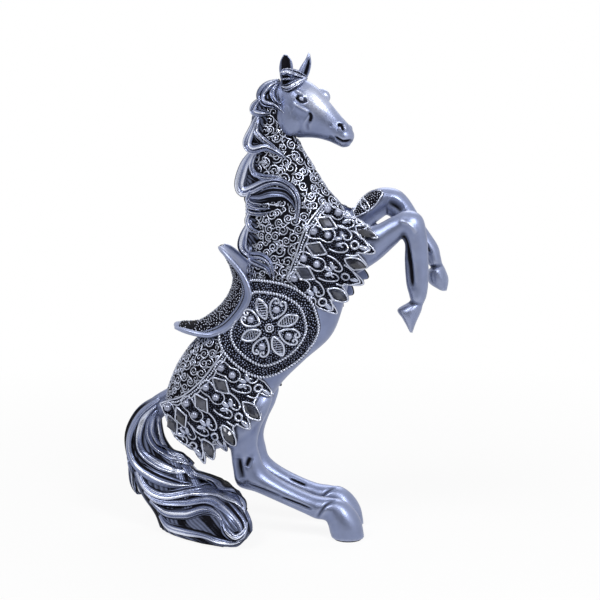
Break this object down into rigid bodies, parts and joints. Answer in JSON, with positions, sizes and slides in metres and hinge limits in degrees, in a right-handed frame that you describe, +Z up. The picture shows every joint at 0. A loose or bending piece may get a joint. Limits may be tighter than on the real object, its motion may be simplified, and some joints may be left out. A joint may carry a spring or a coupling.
{
  "type": "horse statue",
  "caption": "Rearing horse statue in antiqued silver resin, with a crescent saddle, jewelled lobed drapes and scroll filigree; a table ornament that stands on its hind hooves and tail.",
  "frame": {"origin": "middle of the statue's bounding box, on the surface it stands on", "axes": "+X the way the horse faces, +Y towards the horse's left, +Z up"},
  "size_m": [0.1993, 0.0739, 0.2935],
  "materials": {
    "silver_resin": "metallic silver lacquer, polished",
    "hair_resin": "metallic silver lacquer, black in the grooves",
    "filigree_resin": "black antiquing with bright raised lines",
    "stone": "dark, polished",
    "pearl": "pearly gloss",
    "steel": "plain",
    "felt": "matt felt"
  },
  "bodies": {
    "root": {"torso": "silver_resin", "neck": "silver_resin", "head": "silver_resin", "ear_right": "silver_resin", "ear_left": "silver_resin", "forelock": "hair_resin", "mane": "hair_resin", "foreleg_right": "silver_resin", "foreleg_left": "silver_resin", "hind_leg_right": "silver_resin", "hind_leg_left": "silver_resin", "tail": "hair_resin", "saddle_seat": "silver_resin", "saddle_flap_right": "filigree_resin", "saddle_flap_left": "filigree_resin", "breast_drape_right": "filigree_resin", "breast_drape_left": "filigree_resin", "rump_drape_right": "filigree_resin", "rump_drape_left": "filigree_resin", "breast_diamonds": "stone", "rump_diamonds": "stone", "breast_pearls": "pearl", "rump_pearls": "pearl", "flap_pearls": "pearl", "breast_leaf_stones": "stone", "rump_leaf_stones": "stone", "neck_dowel": "steel", "head_dowel": "steel", "foreleg_pins": "steel", "hind_leg_rods": "steel", "tail_pin": "steel", "saddle_pins": "steel", "hoof_pads": "felt", "tail_pad": "felt"}
  },
  "joints": []
}
